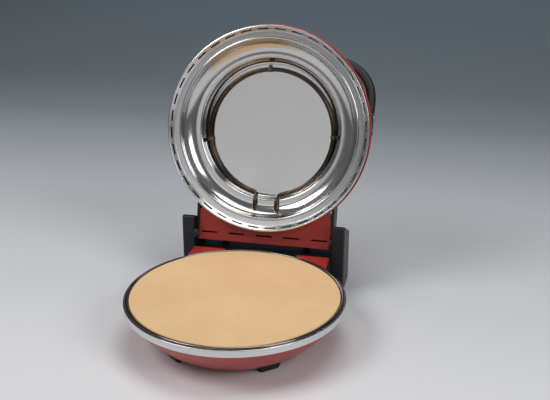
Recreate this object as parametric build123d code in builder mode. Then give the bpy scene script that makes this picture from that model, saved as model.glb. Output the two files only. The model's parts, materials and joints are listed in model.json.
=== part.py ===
from build123d import *
import os
from math import atan2, cos, degrees, radians, sin

# A countertop pizza oven: a round base with a baking stone over a tubular
# heater, and a domed lid with a second heater, hinged between two rear posts.
#
# Millimetres and degrees.  The origin is the centre of the stone's top face,
# +Z is up, -Y is the front, the hinge is at +Y.  The lid stands open: its pieces
# are drawn as they lie when it is closed and swung about the hinge when written.

# ---------------------------------------------------------------- base sizes
stone_radius = 165.0
stone_thickness = 13.0
stone_edge_round = 1.6
stone_gap = 0.8            # around the stone, inside the tray

tray_sheet = 0.8
tray_bead_radius = 3.6     # rolled edge of the tray
tray_bead_rise = 0.5       # its top above the stone
tray_ledge_width = 14.0    # ring that carries the stone
tray_depth = 30.0          # from the stone's underside to the tray's floor
tray_lean = 10.0           # how far the tray's wall leans in
tray_bend = 2.0

band_width = 2.0           # steel trim band, in plan
band_height = 11.0
band_drop = 4.0            # its top edge below the stone's top

bowl_sheet = 1.2
bowl_height = 51.0         # below the trim band
bowl_floor_radius = 119.0
bowl_bulge = 3.0           # of the bowl's side over a straight cone
bowl_lip_width = 4.9       # flange that carries the tray's bead
bowl_corner = 5.0

foot_height = 9.0
foot_length = 38.0
foot_width = 20.0
foot_spread = 37.0         # degrees either side of the front
foot_radius = 110.0        # of the front feet from the centre
foot_taper = 8.0
rear_foot_height = 3.0
rear_foot_inset = 1.0      # inside the post's outline
rear_foot_round = 4.0

# ------------------------------------------------------------ heater sizes
tube_radius = 3.6
leg_bend = 8.0
clip_sheet = 0.9
clip_width = 6.0
clip_clearance = 0.05
clip_foot = 11.0
sleeve_wall = 1.8          # ceramic sleeve round a heater's leg
sleeve_length = 7.0
sleeve_gap = 0.4           # between the tube and the hole it passes
terminal_radius = 1.4      # pin at the end of a leg
terminal_length = 6.0
terminal_gap = 2.0         # from the sleeve to the end of the tube

lower_ring_radius = 108.0
lower_ring_drop = 15.0     # below the stone's underside
lower_leg_spacing = 34.0
lower_clip_angles = (30.0, 150.0, 270.0)

upper_ring_radius = 109.0
upper_ring_offset = 6.0    # towards the hinge
upper_ring_rise = 7.0      # clear of the pan's floor, centre of tube
upper_leg_spacing = 36.0
upper_clip_angles = (266.0, 169.0, 3.0)
upper_leg_points = ((121.0, 21.0), (143.0, 8.4), (149.0, 24.0))   # (back, rise)
upper_leg_bend = 6.0
upper_leg_turn = 4.2       # last bend, into the pan's wall

# ------------------------------------------------------------- hinge sizes
lid_open_angle = 104.0
hinge_setback = 14.0       # hinge line behind the lid's skirt
hinge_rise = 15.0          # hinge line above the stone's top
hinge_half_span = 124.6    # to the posts' inner faces
hinge_lobe_radius = 9.5    # of the cheek, round the pin
pin_radius = 3.5
pin_running_clearance = 0.05
pin_head_radius = 5.6
pin_head_height = 2.2
pin_reach = 12.0           # into the post
pin_end_gap = 0.5
fit_gap = 0.1              # between fixed pieces that nest
moving_gap = 0.6           # between the lid and what it passes

post_width = 21.6
post_front = 6.0           # from the hinge line to the post's front face
post_depth = 70.0
post_top = 36.0            # above the hinge line
post_back_top = 3.0        # above the hinge line, at the back
post_wall = 2.5
post_round = 3.0
post_corner = 5.0          # where its top meets its front
post_boss_wall = 2.2
post_screw_drops = (45.0, 75.0)      # below the hinge line
post_screw_setback = 26.0  # behind the hinge line

housing_wall = 2.5         # moulded rear housing
housing_top = 22.0         # its top below the stone's top
housing_front = 104.0      # how far forward it reaches under the bowl
housing_back_gap = 6.0     # its back from the posts' backs
housing_round = 5.0
cover_boss_radius = 4.5
cover_boss_spots = ((105.0, 172.0), (105.0, 236.0), (36.0, 236.0))
cover_sheet = 2.0
vent_count = 9
vent_pitch = 9.0
vent_length = 40.0
vent_width = 3.0

deck_sheet = 1.2
deck_drop = 5.0            # its top below the stone's top
deck_gap = 1.0             # round the trim band
deck_half_width = 122.0
deck_front = 120.0
deck_back = 181.0
deck_round = 2.5

gland_radius = 8.0
gland_bore_radius = 3.6
gland_length = 16.0
gland_flange = 2.5
gland_nose = 7.0           # beyond the housing's back
gland_height = 22.0        # above the table
gland_offset = 72.0        # to the side of the middle
block_length = 44.0        # terminal block
block_depth = 14.0
block_height = 16.0
block_poles = 3
block_pole_radius = 2.4
block_round = 1.0
block_setback = 30.0       # in front of the housing's back wall

bumper_radius = 6.0
bumper_gap = 0.3
bumper_spacing = 150.0
bumper_setback = 26.0      # behind the hinge line

# --------------------------------------------------------------- lid sizes
lid_radius = 178.0         # outside of the steel skirt
lid_rim_drop = 3.0         # closed rim below the stone's top
ring_sheet = 0.8
ring_skirt_height = 12.0
ring_lip_width = 2.4
ring_lip_rise = 0.6
ring_cone_width = 7.2      # slotted cone, in plan
ring_cone_height = 8.5
ring_bend = 0.9
steam_slot_count = 36
steam_slot_length = 19.0
steam_slot_width = 3.2

pan_sheet = 0.8
pan_bead_radius = 2.2
pan_bead_centre_radius = 155.5
pan_bead_rise = 8.7
pan_flange_width = 8.0     # lies on the ring's ledge
pan_well_radius = 124.0
pan_well_rise = 27.0       # top edge of the well above the rim
pan_depth = 50.0
pan_well_lean = 1.5
pan_bend = 2.5

dome_sheet = 1.5
dome_overhang = 3.0        # beyond the steel skirt
dome_edge_rise = 4.0
dome_shoulder_rise = 14.0
dome_shoulder_round = 8.0
dome_height = 80.0
dome_crown_reach = 118.0   # where the crown meets the shoulder
dome_crown_drop = 9.0
dome_hem = 1.5             # height of the hem that grips the skirt

insulation_thickness = 8.0
base_insulation_thickness = 14.0
insulation_margin = 6.0

hood_wall = 2.0            # red hinge hood behind the dome
hood_floor_rise = 26.0     # slotted face above the rim
hood_back = 204.0
hood_back_lean = 2.0
hood_back_top = 58.0
hood_front = 96.0
hood_front_top = 70.0
hood_front_half_width = 60.0
hood_taper_reach = 150.0   # the sides are parallel behind this
hood_round = 5.0
hood_slot_count = 5
hood_slot_pitch = 50.0
hood_slot_length = 30.0
hood_slot_width = 3.0
hood_slot_edge = 14.0      # from the hood's back edge

cheek_thickness = 4.8
cheek_margin = 1.5         # beyond the hood's outline
cheek_front = 128.0
cheek_front_top = 66.0
cheek_screw_spots = ((162.0, 44.0), (190.0, 44.0))   # (back, rise)

handle_half_width = 171.0
handle_side_y = -18.0
handle_side_rise = 46.0
handle_front_y = -126.0
handle_front_rise = 104.0
handle_corner = 78.0
handle_thickness = 16.0
handle_depth = 21.0
handle_round = 6.0
handle_foot_length = 40.0
handle_foot_height = 26.0
handle_foot_rise = 41.0
handle_foot_round = 7.0
handle_foot_reach = 40.0   # inwards, past the dome's flank
handle_screw_spacing = 22.0

bezel_radius = 36.0
bezel_rise = 7.0           # above the dome's crown
bezel_round = 2.5
knob_radius = 19.0
knob_height = 17.0
knob_skirt_height = 5.0
knob_grip_width = 9.0
knob_grip_inset = 4.0
knob_grip_taper = 6.0
knob_gap = 0.6
knob_round = 1.5
shaft_radius = 3.0
shaft_clearance = 0.05
shaft_gap = 0.5            # in the holes it passes
shaft_grip = 9.0           # into the knob
shaft_socket = 10.0        # into the thermostat
thermostat_radius = 17.0
thermostat_height = 16.0
thermostat_round = 1.5
thermostat_tab_length = 46.0
thermostat_tab_width = 9.0
thermostat_tab_sheet = 1.5
lamp_radius = 3.6
lamp_reach = 28.0          # from the knob's centre
lamp_rise = 1.6
lamp_depth = 4.0
lamp_spread = 24.0         # degrees either side of the front

screw_head_radius = 3.6
screw_head_height = 1.6
screw_shank_radius = 1.8
screw_shank_length = 9.0
screw_head_gap = 0.2

# ------------------------------------------------------------ worked-out sizes
stone_bottom = -stone_thickness
tray_inner_radius = stone_radius + stone_gap
bead_centre_radius = tray_inner_radius + tray_bead_radius
bead_centre_z = tray_bead_rise - tray_bead_radius
bead_outer_radius = bead_centre_radius + tray_bead_radius
tray_floor_z = stone_bottom - tray_depth
ledge_inner_radius = tray_inner_radius - tray_ledge_width
tray_floor_radius = ledge_inner_radius - tray_lean

band_inner_radius = bead_outer_radius + fit_gap
band_outer_radius = band_inner_radius + band_width
band_top = -band_drop
band_bottom = band_top - band_height

bowl_rim_radius = bead_outer_radius
bowl_lip_z = bead_centre_z - tray_bead_radius
bowl_bottom = band_bottom - bowl_height
floor_z = bowl_bottom - foot_height
gland_z = floor_z + gland_height

hinge_y = lid_radius + hinge_setback
hinge_z = hinge_rise
hinge_height = hinge_rise + lid_rim_drop      # hinge line above the closed rim
hinge_axis = Axis((0, hinge_y, hinge_z), (1, 0, 0))
post_centre_x = hinge_half_span + post_width / 2
post_back_y = hinge_y - post_front + post_depth
post_bottom = floor_z + rear_foot_height
housing_top_z = -housing_top
housing_back_y = post_back_y - housing_back_gap
hood_half_width = hinge_half_span - moving_gap - cheek_thickness

leg_y = lower_ring_radius + leg_bend * 1.5
lower_ring_z = stone_bottom - lower_ring_drop
upper_ring_height = pan_depth - upper_ring_rise
dome_radius = lid_radius + dome_overhang
bezel_top = dome_height + bezel_rise
knob_bottom = bezel_top + knob_gap
middle, low, high = Align.CENTER, Align.MIN, Align.MAX


def side_plane(x):
    """Plane square to the hinge; sketches read (towards the hinge, height)."""
    return Plane(origin=(x, 0, 0), x_dir=(0, 1, 0), z_dir=(1, 0, 0))


def spoke(radius, angle, height):
    """Point at a radius and an angle from +X."""
    return Vector(radius * cos(radians(angle)), radius * sin(radians(angle)), height)


os.makedirs("parts", exist_ok=True)


def save(piece, name):
    """Label a piece of the base and write its file."""
    piece.part.label = name
    export_step(piece.part, "parts/" + name + ".step")


def save_lid(piece, name):
    """Swing a piece of the lid open, label it and write its file.

    Lid pieces are drawn closed, with heights counted up from the lid's rim.
    """
    closed = piece.part.moved(Location((0, 0, -lid_rim_drop)))
    opened = closed.rotate(hinge_axis, -lid_open_angle)
    opened.label = name
    export_step(opened, "parts/" + name + ".step")


def bent_sheet(points, bend, sheet):
    """Section of bent sheet metal; its thickness lies left of the path."""
    with BuildLine() as outline:
        FilletPolyline(*points, radius=bend)
        offset(amount=sheet, side=Side.LEFT)
    make_face(outline.edges())


def sweep_tube(path, radius):
    """Round tube along a smooth path."""
    with BuildSketch(Plane(origin=path @ 0, z_dir=path % 0)) as section:
        Circle(radius)
    sweep(section.sketch, path=path)


def closed_form(outline):
    """Face inside straight edges that join the points."""
    with BuildLine() as edges:
        Polyline(*outline, close=True)
    make_face(edges.edges())


def add_screws(planes):
    """Pan-head screws seated on the planes; each shank goes down from its plane."""
    with Locations(*planes):
        Cylinder(screw_head_radius, screw_head_height, align=(middle, middle, low))
        Cylinder(screw_shank_radius, screw_shank_length, align=(middle, middle, high))


def drill_screws(planes):
    """Holes for the shanks of the screws seated on the planes."""
    with Locations(*planes):
        Cylinder(
            screw_shank_radius,
            screw_shank_length,
            align=(middle, middle, high),
            mode=Mode.SUBTRACT,
        )


def tube_clip(radius, floor_side):
    """Section of a clip: a loop round the tube, a stem and a foot on the sheet.

    The sheet that carries it lies at a distance of floor_side from the tube's
    centre, above it or below it.
    """
    side = 1 if floor_side > 0 else -1
    loop = tube_radius + clip_clearance
    stem = abs(floor_side) - loop - clip_sheet / 2
    with Locations((radius, side * (loop + clip_sheet / 2 + stem / 2))):
        Rectangle(clip_sheet, stem)
    with Locations((radius - clip_foot / 2, floor_side - side * clip_sheet / 2)):
        Rectangle(clip_foot + clip_sheet, clip_sheet)
    with Locations((radius, 0)):
        Circle(loop + clip_sheet)
        Circle(loop, mode=Mode.SUBTRACT)


# ================================================================== the base
with BuildPart() as pizza_stone:
    with BuildSketch(Plane.XY.offset(stone_bottom)):
        Circle(stone_radius)
    extrude(amount=stone_thickness)
    fillet(pizza_stone.edges(), radius=stone_edge_round)
save(pizza_stone, "pizza_stone")

# The tray: a rolled bead, a ledge under the stone and a well for the heater.
with BuildPart() as base_tray:
    with BuildSketch(Plane.XZ):
        tray_path = [
            (tray_inner_radius, bead_centre_z),
            (tray_inner_radius, stone_bottom),
            (ledge_inner_radius, stone_bottom),
            (tray_floor_radius, tray_floor_z),
            (0, tray_floor_z),
        ]
        bent_sheet(tray_path, tray_bend, tray_sheet)
        with Locations((bead_centre_radius, bead_centre_z)):
            Circle(tray_bead_radius)
    revolve(axis=Axis.Z)
    with BuildSketch(Plane.XY.offset(tray_floor_z)):
        with Locations((0, leg_y)):
            with GridLocations(lower_leg_spacing, 1, 2, 1):
                Circle(tube_radius + sleeve_gap)
    extrude(amount=tray_sheet * 2, both=True, mode=Mode.SUBTRACT)
save(base_tray, "base_tray")

with BuildPart() as trim_band:
    with BuildSketch(Plane.XY.offset(band_bottom)):
        Circle(band_outer_radius)
        Circle(band_inner_radius, mode=Mode.SUBTRACT)
    extrude(amount=band_height)
    outer_rims = trim_band.edges().filter_by(GeomType.CIRCLE).group_by(SortBy.RADIUS)[-1]
    fillet(outer_rims, radius=band_width * 0.45)
save(trim_band, "trim_band")


def bowl_outline(extra):
    """Closed section of the bowl's outside, grown by a wall."""
    rim = (bowl_rim_radius + extra, bowl_lip_z)
    tuck = (bowl_rim_radius + extra, band_bottom)
    toe = (bowl_floor_radius + extra, bowl_bottom - extra)
    with BuildLine() as outline:
        Polyline((0, bowl_lip_z), rim, tuck)
        SagittaArc(tuck, toe, bowl_bulge)
        Polyline(toe, (0, bowl_bottom - extra), (0, bowl_lip_z))
    make_face(outline.edges())


with BuildPart() as bowl_form:
    with BuildSketch(Plane.XZ):
        bowl_outline(0)
    revolve(axis=Axis.Z)
    fillet(bowl_form.edges().group_by(Axis.Z)[0], radius=bowl_corner)

with BuildPart() as base_bowl:
    add(bowl_form.part)
    offset(amount=-bowl_sheet, openings=base_bowl.faces().sort_by(Axis.Z)[-1])
    with BuildSketch(Plane.XY.offset(bowl_lip_z)):
        Circle(bowl_rim_radius)
        Circle(bowl_rim_radius - bowl_lip_width, mode=Mode.SUBTRACT)
    extrude(amount=-bowl_sheet)
save(base_bowl, "base_bowl")


def heater_path(ring_radius, ring_centre, ring_height, spacing, leg_points, bends):
    """Open ring whose two ends turn off at the back along the leg points (y, z)."""
    reach = leg_bend * 1.2
    half_gap = degrees(atan2(spacing / 2 + reach, ring_radius))
    with BuildLine(Plane.XY.offset(ring_height)) as ring:
        CenterArc((0, ring_centre), ring_radius, 90 + half_gap, 360 - 2 * half_gap)
    arc = ring.edges()[0]
    pieces = [arc]
    for end, along in ((arc @ 0, (arc % 0) * -1), (arc @ 1, arc % 1)):
        leg_x = spacing / 2 if end.X > 0 else -spacing / 2
        turn = end + along * ((end.X - leg_x) / -along.X)
        corners = [end, turn] + [Vector(leg_x, y, z) for y, z in leg_points]
        with BuildLine() as leg:
            FilletPolyline(*corners, radius=bends)
        pieces += leg.edges()
    return Wire(pieces)


with BuildPart() as lower_heater:
    lower_leg_points = [(leg_y, lower_ring_z), (leg_y, tray_floor_z - sleeve_length - terminal_gap)]
    lower_path = heater_path(
        lower_ring_radius, 0, lower_ring_z, lower_leg_spacing, lower_leg_points, leg_bend
    )
    sweep_tube(lower_path, tube_radius)
    with Locations(lower_path @ 0, lower_path @ 1):
        Cylinder(terminal_radius, terminal_length, align=(middle, middle, high))
save(lower_heater, "lower_heater")

with BuildPart() as lower_heater_sleeves:
    with Locations((0, leg_y, tray_floor_z - tray_sheet)):
        with GridLocations(lower_leg_spacing, 1, 2, 1):
            Cylinder(
                tube_radius + sleeve_wall, sleeve_length, align=(middle, middle, high)
            )
            Cylinder(
                tube_radius, sleeve_length, align=(middle, middle, high), mode=Mode.SUBTRACT
            )
save(lower_heater_sleeves, "lower_heater_sleeves")

with BuildPart() as lower_heater_clips:
    for angle in lower_clip_angles:
        clip_plane = Plane(
            origin=(0, 0, lower_ring_z), x_dir=spoke(1, angle, 0), z_dir=spoke(1, angle - 90, 0)
        )
        with BuildSketch(clip_plane):
            tube_clip(lower_ring_radius, tray_floor_z - lower_ring_z)
        extrude(amount=clip_width / 2, both=True)
save(lower_heater_clips, "lower_heater_clips")

with BuildPart() as base_insulation:
    with BuildSketch(Plane.XY.offset(tray_floor_z - tray_sheet)):
        Circle(leg_y - tube_radius - sleeve_wall - insulation_margin)
    extrude(amount=-base_insulation_thickness)
save(base_insulation, "base_insulation")

with BuildPart() as front_feet:
    for angle in (270 - foot_spread, 270 + foot_spread):
        foot_plane = Plane(
            origin=spoke(foot_radius, angle, bowl_bottom), x_dir=spoke(1, angle + 90, 0)
        )
        with BuildSketch(foot_plane):
            SlotOverall(foot_length, foot_width)
        extrude(amount=-foot_height, taper=foot_taper)
save(front_feet, "front_feet")

# The rear housing carries the hinge posts and closes on the bowl like a saddle.
housing_width = 2 * hinge_half_span
housing_middle = (housing_front + housing_back_y) / 2
boss_spots = [(x * side, y) for x, y in cover_boss_spots for side in (-1, 1)]
cover_top = post_bottom + cover_sheet

with BuildPart() as housing_space:
    with BuildSketch(Plane.XY.offset(post_bottom)):
        with Locations((0, housing_middle)):
            Rectangle(
                housing_width - 2 * housing_wall,
                housing_back_y - housing_front - 2 * housing_wall,
            )
    extrude(amount=housing_top_z - housing_wall - post_bottom)
    with BuildSketch(Plane.XZ):
        bowl_outline(housing_wall)
    revolve(axis=Axis.Z, mode=Mode.SUBTRACT)

post_screw_planes = [
    Plane(
        origin=(side * (hinge_half_span - housing_wall), hinge_y + post_screw_setback, hinge_z - drop),
        z_dir=(-side, 0, 0),
    )
    for side in (-1, 1)
    for drop in post_screw_drops
]
cover_screw_planes = [
    Plane(origin=(x, y, post_bottom), x_dir=(1, 0, 0), z_dir=(0, 0, -1)) for x, y in boss_spots
]

with BuildPart() as hinge_base:
    with BuildSketch(Plane.XY.offset(post_bottom)):
        with Locations((0, housing_middle)):
            Rectangle(housing_width, housing_back_y - housing_front)
    extrude(amount=housing_top_z - post_bottom)
    fillet(
        hinge_base.edges().group_by(Axis.Y)[-1].filter_by(Axis.X), radius=housing_round
    )
    add(bowl_form.part, mode=Mode.SUBTRACT)
    add(housing_space.part, mode=Mode.SUBTRACT)
    with Locations(*[(x, y, cover_top) for x, y in boss_spots]):
        Cylinder(
            cover_boss_radius,
            housing_top_z - housing_wall - cover_top,
            align=(middle, middle, low),
        )
    with Locations((gland_offset, housing_back_y, gland_z)):
        Cylinder(gland_radius, housing_wall * 4, rotation=(90, 0, 0), mode=Mode.SUBTRACT)
    drill_screws(cover_screw_planes)
    drill_screws(post_screw_planes)
save(hinge_base, "hinge_base")

with BuildPart() as hinge_base_cover:
    with BuildSketch(Plane.XY.offset(post_bottom)):
        with Locations((0, housing_middle)):
            Rectangle(
                housing_width - 2 * housing_wall,
                housing_back_y - housing_front - 2 * housing_wall,
            )
    extrude(amount=cover_sheet)
    with BuildSketch(Plane.XY.offset(post_bottom)):
        with Locations((0, housing_middle)):
            with GridLocations(vent_pitch, 1, vent_count, 1):
                SlotOverall(vent_length, vent_width, rotation=90)
    extrude(amount=cover_sheet, mode=Mode.SUBTRACT)
    drill_screws(cover_screw_planes)
save(hinge_base_cover, "hinge_base_cover")

with BuildPart() as cover_screws:
    add_screws(cover_screw_planes)
save(cover_screws, "cover_screws")

with BuildPart() as cord_gland:
    with BuildSketch(Plane(origin=(gland_offset, housing_back_y + gland_flange, gland_z), z_dir=(0, 1, 0))):
        Circle(gland_radius + gland_flange)
    extrude(amount=-gland_flange)
    with BuildSketch(Plane(origin=(gland_offset, housing_back_y + gland_nose, gland_z), z_dir=(0, 1, 0))):
        Circle(gland_radius)
    extrude(amount=-gland_length)
    fillet(cord_gland.faces().sort_by(Axis.Y)[-1].edges(), radius=gland_flange * 0.6)
    with Locations((gland_offset, housing_back_y, gland_z)):
        Cylinder(gland_bore_radius, gland_length * 3, rotation=(90, 0, 0), mode=Mode.SUBTRACT)
save(cord_gland, "cord_gland")

with BuildPart() as terminal_block:
    with Locations((gland_offset, housing_back_y - block_setback, cover_top)):
        Box(block_length, block_depth, block_height, align=(middle, middle, low))
    fillet(terminal_block.edges().group_by(Axis.Z)[-1], radius=block_round)
    with Locations((gland_offset, housing_back_y - block_setback, cover_top + block_height)):
        with GridLocations(block_length / block_poles, block_depth / 2, block_poles, 2):
            Cylinder(
                block_pole_radius, block_height, align=(middle, middle, high), mode=Mode.SUBTRACT
            )
save(terminal_block, "terminal_block")

with BuildPart() as rear_deck:
    with BuildSketch(Plane.XY.offset(housing_top_z)):
        with Locations((0, deck_back)):
            Rectangle(2 * deck_half_width, deck_back, align=(middle, high))
        Circle(band_outer_radius + deck_gap, mode=Mode.SUBTRACT)
        with Locations((0, 0)):
            Rectangle(2 * deck_half_width, 2 * deck_front, mode=Mode.SUBTRACT)
    extrude(amount=-deck_drop - housing_top_z)
    deck_top_edges = rear_deck.edges().group_by(Axis.Z)[-1]
    fillet(deck_top_edges.filter_by(GeomType.LINE), radius=deck_round)
    deck_open_faces = rear_deck.faces().sort_by(Axis.Z)[:1] + rear_deck.faces().filter_by(GeomType.CYLINDER).sort_by(SortBy.AREA)[-1:]
    offset(amount=-deck_sheet, openings=deck_open_faces)
save(rear_deck, "rear_deck")

# The hinge posts are mouldings open below, each with a boss round the hinge pin.
for side, name in ((-1, "hinge_post_left"), (1, "hinge_post_right")):
    inner_face = side * hinge_half_span
    with BuildPart() as hinge_post:
        with BuildSketch(side_plane(inner_face)):
            closed_form(
                [
                    (hinge_y - post_front, post_bottom),
                    (post_back_y, post_bottom),
                    (post_back_y, hinge_z + post_back_top),
                    (hinge_y - post_front, hinge_z + post_top),
                ]
            )
        extrude(amount=side * post_width)
        top_edges = hinge_post.edges().filter_by(Axis.X).group_by(Axis.Z)[1:]
        fillet([edge for group in top_edges for edge in group], radius=post_corner)
        outer_face = hinge_post.faces().sort_by(Axis.X)[-1 if side > 0 else 0]
        rounded = outer_face.edges().filter_by(lambda edge: edge.center().Z > post_bottom)
        fillet(rounded, radius=post_round)
        offset(amount=-post_wall, openings=hinge_post.faces().sort_by(Axis.Z)[0])
        boss_plane = Plane(origin=(inner_face, hinge_y, hinge_z), z_dir=(side, 0, 0))
        with Locations(boss_plane):
            Cylinder(
                pin_radius + post_boss_wall, pin_reach + post_wall, align=(middle, middle, low)
            )
            Cylinder(
                pin_radius + pin_running_clearance,
                pin_reach + pin_end_gap,
                align=(middle, middle, low),
                mode=Mode.SUBTRACT,
            )
        drill_screws(post_screw_planes)
    save(hinge_post, name)

with BuildPart() as post_screws:
    add_screws(post_screw_planes)
save(post_screws, "post_screws")

with BuildPart() as rear_feet:
    with BuildSketch(Plane.XY.offset(floor_z)):
        with Locations((0, hinge_y - post_front + post_depth / 2)):
            with GridLocations(2 * post_centre_x, 1, 2, 1):
                RectangleRounded(
                    post_width - 2 * rear_foot_inset, post_depth - 2 * rear_foot_inset, rear_foot_round
                )
    extrude(amount=rear_foot_height)
save(rear_feet, "rear_feet")


def opened(y, rise):
    """Where a point over the closed lid's middle goes when the lid swings open."""
    hinge_point = Vector(0, hinge_y, hinge_z)
    reach = Vector(0, y, rise - lid_rim_drop) - hinge_point
    return hinge_point + reach.rotate(Axis.X, -lid_open_angle)


# Rubber bumpers on the housing stop the hood's back wall as the lid opens.
hood_back_foot = opened(hood_back, hood_floor_rise)
hood_back_slope = opened(hood_back + hood_back_lean, hood_back_top) - hood_back_foot
stop_normal = Vector(1, 0, 0).cross(hood_back_slope).normalized()
stop_plane = Plane(origin=hood_back_foot - stop_normal * bumper_gap, z_dir=stop_normal)

with BuildPart() as lid_bumpers:
    with Locations((0, hinge_y + bumper_setback, housing_top_z)):
        with GridLocations(bumper_spacing, 1, 2, 1):
            Cylinder(bumper_radius, hinge_z - housing_top_z, align=(middle, middle, low))
    split(bisect_by=stop_plane, keep=Keep.BOTTOM)
save(lid_bumpers, "lid_bumpers")


# =================================================================== the lid
# A steel ring makes the rim: a skirt, a lip and a slotted cone up to a ledge.
ring_ledge_radius = pan_bead_centre_radius + pan_bead_radius
cone_outer_radius = lid_radius - ring_lip_width
cone_inner_radius = cone_outer_radius - ring_cone_width
cone_slant = Vector(ring_cone_height, 0, ring_cone_width).normalized()

with BuildPart() as lid_ring:
    with BuildSketch(Plane.XZ):
        ring_path = [
            (ring_ledge_radius, ring_cone_height),
            (cone_inner_radius, ring_cone_height),
            (cone_outer_radius, 0),
            (lid_radius, ring_lip_rise),
            (lid_radius, ring_skirt_height),
        ]
        bent_sheet(ring_path, ring_bend, ring_sheet)
    revolve(axis=Axis.Z)
    slot_planes = []
    for slot in range(steam_slot_count):
        slot_angle = 360 / steam_slot_count * (slot + 0.5)
        slot_planes.append(
            Plane(
                origin=spoke(cone_outer_radius - ring_cone_width / 2, slot_angle, ring_cone_height / 2),
                x_dir=spoke(1, slot_angle + 90, 0),
                z_dir=spoke(cone_slant.X, slot_angle, cone_slant.Z),
            )
        )
    with BuildSketch(*slot_planes):
        SlotOverall(steam_slot_length, steam_slot_width)
    extrude(amount=ring_sheet * 3, both=True, mode=Mode.SUBTRACT)
save_lid(lid_ring, "lid_ring")

upper_path = heater_path(
    upper_ring_radius,
    upper_ring_offset,
    upper_ring_height,
    upper_leg_spacing,
    upper_leg_points,
    [leg_bend, upper_leg_bend, upper_leg_turn],
)

# The pan: a rolled bead, a wide slope and a straight-sided well for the heater.
with BuildPart() as lid_pan:
    with BuildSketch(Plane.XZ):
        pan_path = [
            (0, pan_depth),
            (pan_well_radius - pan_well_lean, pan_depth),
            (pan_well_radius, pan_well_rise),
            (pan_bead_centre_radius - pan_bead_radius * 0.7, pan_bead_rise),
        ]
        bent_sheet(pan_path, pan_bend, pan_sheet)
        with Locations((pan_bead_centre_radius, pan_bead_rise)):
            Circle(pan_bead_radius)
        with Locations((pan_bead_centre_radius, ring_cone_height + ring_sheet)):
            Rectangle(pan_flange_width, pan_sheet, align=(low, low))
    revolve(axis=Axis.Z)
    leg_ends = [Plane(origin=upper_path @ end, z_dir=upper_path % end) for end in (0, 1)]
    with Locations(*leg_ends):
        Cylinder(tube_radius + sleeve_gap, sleeve_length * 4, mode=Mode.SUBTRACT)
save_lid(lid_pan, "lid_pan")

with BuildPart() as upper_heater:
    sweep_tube(upper_path, tube_radius)
    with Locations(*leg_ends):
        Cylinder(terminal_radius, terminal_length * 2)
save_lid(upper_heater, "upper_heater")

with BuildPart() as upper_heater_sleeves:
    for end, inward in ((0, 1), (1, -1)):
        with Locations(Plane(origin=upper_path @ end, z_dir=(upper_path % end) * inward)):
            with Locations((0, 0, terminal_gap)):
                Cylinder(
                    tube_radius + sleeve_wall, sleeve_length, align=(middle, middle, low)
                )
                Cylinder(
                    tube_radius, sleeve_length, align=(middle, middle, low), mode=Mode.SUBTRACT
                )
save_lid(upper_heater_sleeves, "upper_heater_sleeves")

with BuildPart() as upper_heater_clips:
    for angle in upper_clip_angles:
        clip_plane = Plane(
            origin=(0, upper_ring_offset, upper_ring_height),
            x_dir=spoke(1, angle, 0),
            z_dir=spoke(1, angle - 90, 0),
        )
        with BuildSketch(clip_plane):
            tube_clip(upper_ring_radius, pan_depth - upper_ring_height)
        extrude(amount=clip_width / 2, both=True)
save_lid(upper_heater_clips, "upper_heater_clips")

with BuildPart() as lid_insulation:
    with BuildSketch(Plane.XY.offset(pan_depth + pan_sheet)):
        Circle(pan_well_radius - insulation_margin)
    extrude(amount=insulation_thickness)
save_lid(lid_insulation, "lid_insulation")

with BuildPart() as dome_form:
    with BuildSketch(Plane.XZ):
        with BuildLine():
            crown = (0, dome_height)
            crown_side = (dome_crown_reach, dome_height - dome_crown_drop)
            shoulder = (dome_radius, dome_shoulder_rise)
            crown_arc = TangentArc(crown, crown_side, tangent=(1, 0))
            TangentArc(crown_side, shoulder, tangent=crown_arc % 1)
            Polyline(shoulder, (dome_radius, dome_edge_rise), (0, dome_edge_rise), crown)
        make_face()
    revolve(axis=Axis.Z)
    shoulder_rings = dome_form.edges().filter_by(GeomType.CIRCLE)
    fillet(shoulder_rings.group_by(Axis.Z)[1], radius=dome_shoulder_round)

with BuildPart() as lid_dome:
    add(dome_form.part)
    offset(amount=-dome_sheet, openings=lid_dome.faces().sort_by(Axis.Z)[0])
    with BuildSketch(Plane.XY.offset(dome_edge_rise)):
        Circle(dome_radius - dome_sheet / 2)
        Circle(lid_radius, mode=Mode.SUBTRACT)
    extrude(amount=dome_hem)
    with Locations((0, 0, dome_height)):
        Cylinder(shaft_radius + shaft_gap, dome_sheet * 4, mode=Mode.SUBTRACT)
save_lid(lid_dome, "lid_dome")

# The hinge hood: a box that grows out of the dome and carries the cheeks.
with BuildPart() as hinge_hood:
    with BuildSketch(side_plane(0)):
        closed_form(
            [
                (hood_front, hood_floor_rise),
                (hood_back, hood_floor_rise),
                (hood_back + hood_back_lean, hood_back_top),
                (hood_front, hood_front_top),
            ]
        )
    extrude(amount=hood_half_width, both=True)
    with BuildSketch(Plane.XY):
        closed_form(
            [
                (-hood_half_width, hood_back + hood_back_lean),
                (-hood_half_width, hood_taper_reach),
                (-hood_front_half_width, hood_front),
                (hood_front_half_width, hood_front),
                (hood_half_width, hood_taper_reach),
                (hood_half_width, hood_back + hood_back_lean),
            ]
        )
    extrude(amount=dome_height, mode=Mode.INTERSECT)
    fillet(hinge_hood.edges().filter_by(Axis.X).group_by(Axis.Y)[-1], radius=hood_round)
    offset(amount=-hood_wall, openings=hinge_hood.faces().sort_by(Axis.Y)[0])
    add(dome_form.part, mode=Mode.SUBTRACT)
    with BuildSketch(Plane.XY.offset(hood_floor_rise)):
        with Locations((0, hood_back - hood_slot_edge)):
            with GridLocations(hood_slot_pitch, 1, hood_slot_count, 1):
                SlotOverall(hood_slot_length, hood_slot_width)
    extrude(amount=hood_wall * 2, both=True, mode=Mode.SUBTRACT)
    drill_screws(
        [
            Plane(origin=(side * (hood_half_width + cheek_thickness), y, rise), z_dir=(side, 0, 0))
            for side in (-1, 1)
            for y, rise in cheek_screw_spots
        ]
    )
save_lid(hinge_hood, "hinge_hood")

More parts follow.
